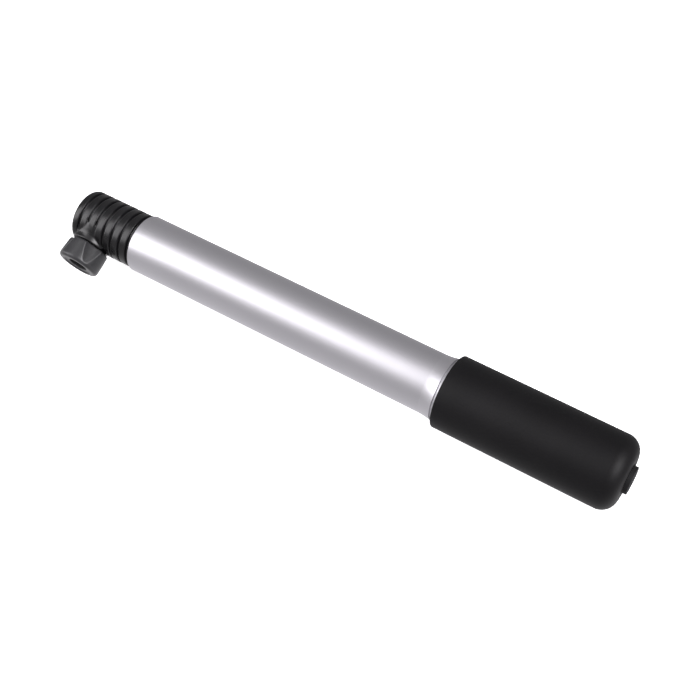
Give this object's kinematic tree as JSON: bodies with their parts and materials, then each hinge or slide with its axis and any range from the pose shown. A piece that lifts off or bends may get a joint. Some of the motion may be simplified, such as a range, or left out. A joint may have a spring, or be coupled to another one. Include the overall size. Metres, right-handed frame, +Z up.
{
  "type": "mini bicycle pump",
  "caption": "Hand-held frame pump: bare aluminium barrel, black sliding handle, ribbed head with a side nozzle and a finger-scalloped screw nut.",
  "frame": {"origin": "on the pump's axis, at the middle of the bare barrel, where a frame clip holds it", "axes": "+X along the pump's axis from the head to the handle; the nozzle points along -Y; +Z up with the pump lying down"},
  "size_m": [0.2539, 0.0371, 0.0304],
  "materials": {
    "barrel_aluminium": "satin anodised",
    "polished_ring": "bright turned",
    "rod_aluminium": "polished",
    "black_plastic": "moulded satin",
    "handle_plastic": "moulded satin",
    "nut_plastic": "moulded satin",
    "grey_plastic": "turned acetal",
    "white_plastic": "natural acetal",
    "rubber": "matt",
    "brass": "turned",
    "steel": "bright zinc"
  },
  "bodies": {
    "barrel": {"barrel_tube": "barrel_aluminium", "barrel_stop_ring": "polished_ring", "head_body": "black_plastic", "head_o_ring": "rubber", "check_retainer": "brass", "check_seat": "rubber", "check_spring": "steel", "core_depressor": "brass", "rod_gland": "grey_plastic", "gland_o_ring": "rubber", "gland_bush": "white_plastic", "detent_o_ring": "rubber"},
    "check_ball": {"check_ball": "steel"},
    "seal_stack": {"grommet_washer": "white_plastic", "valve_grommet": "rubber"},
    "nozzle_cap": {"nozzle_nut": "nut_plastic"},
    "plunger": {"piston_rod": "rod_aluminium", "piston_body": "grey_plastic", "piston_o_ring": "rubber", "piston_washer": "steel", "piston_screw": "steel", "rod_bumper": "rubber", "swivel_washer": "steel", "swivel_screw": "steel"},
    "handle": {"handle_shell": "handle_plastic", "mouth_bush": "white_plastic", "swivel_bush": "white_plastic", "end_plug": "rubber"}
  },
  "joints": [
    {"name": "handle_slide", "type": "slide", "parent": "barrel", "child": "plunger", "axis": [1, 0, 0], "range_m": [0, 0.1668]},
    {"name": "handle_spin", "type": "hinge", "parent": "plunger", "child": "handle", "pos_m": [0.1, 0, 0], "axis": [1, 0, 0], "continuous": true},
    {"name": "seal_lift", "type": "slide", "parent": "barrel", "child": "seal_stack", "axis": [0, -1, 0], "range_m": [0, 0.0025]},
    {"name": "nut_turn", "type": "hinge", "parent": "seal_stack", "child": "nozzle_cap", "pos_m": [-0.09485, -0.017, 0], "axis": [0, -1, 0], "range_deg": [0, 901]},
    {"name": "check_ball_lift", "type": "slide", "parent": "barrel", "child": "check_ball", "axis": [-1, 0, 0], "range_m": [0, 0.0012], "stiffness_N_per_m": 60, "springref_m": -0.003, "deforming": ["check_spring"]}
  ],
  "couplings": [
    {"joint": "nut_turn", "follows": "seal_lift", "rad_per_m": 6283.2}
  ]
}
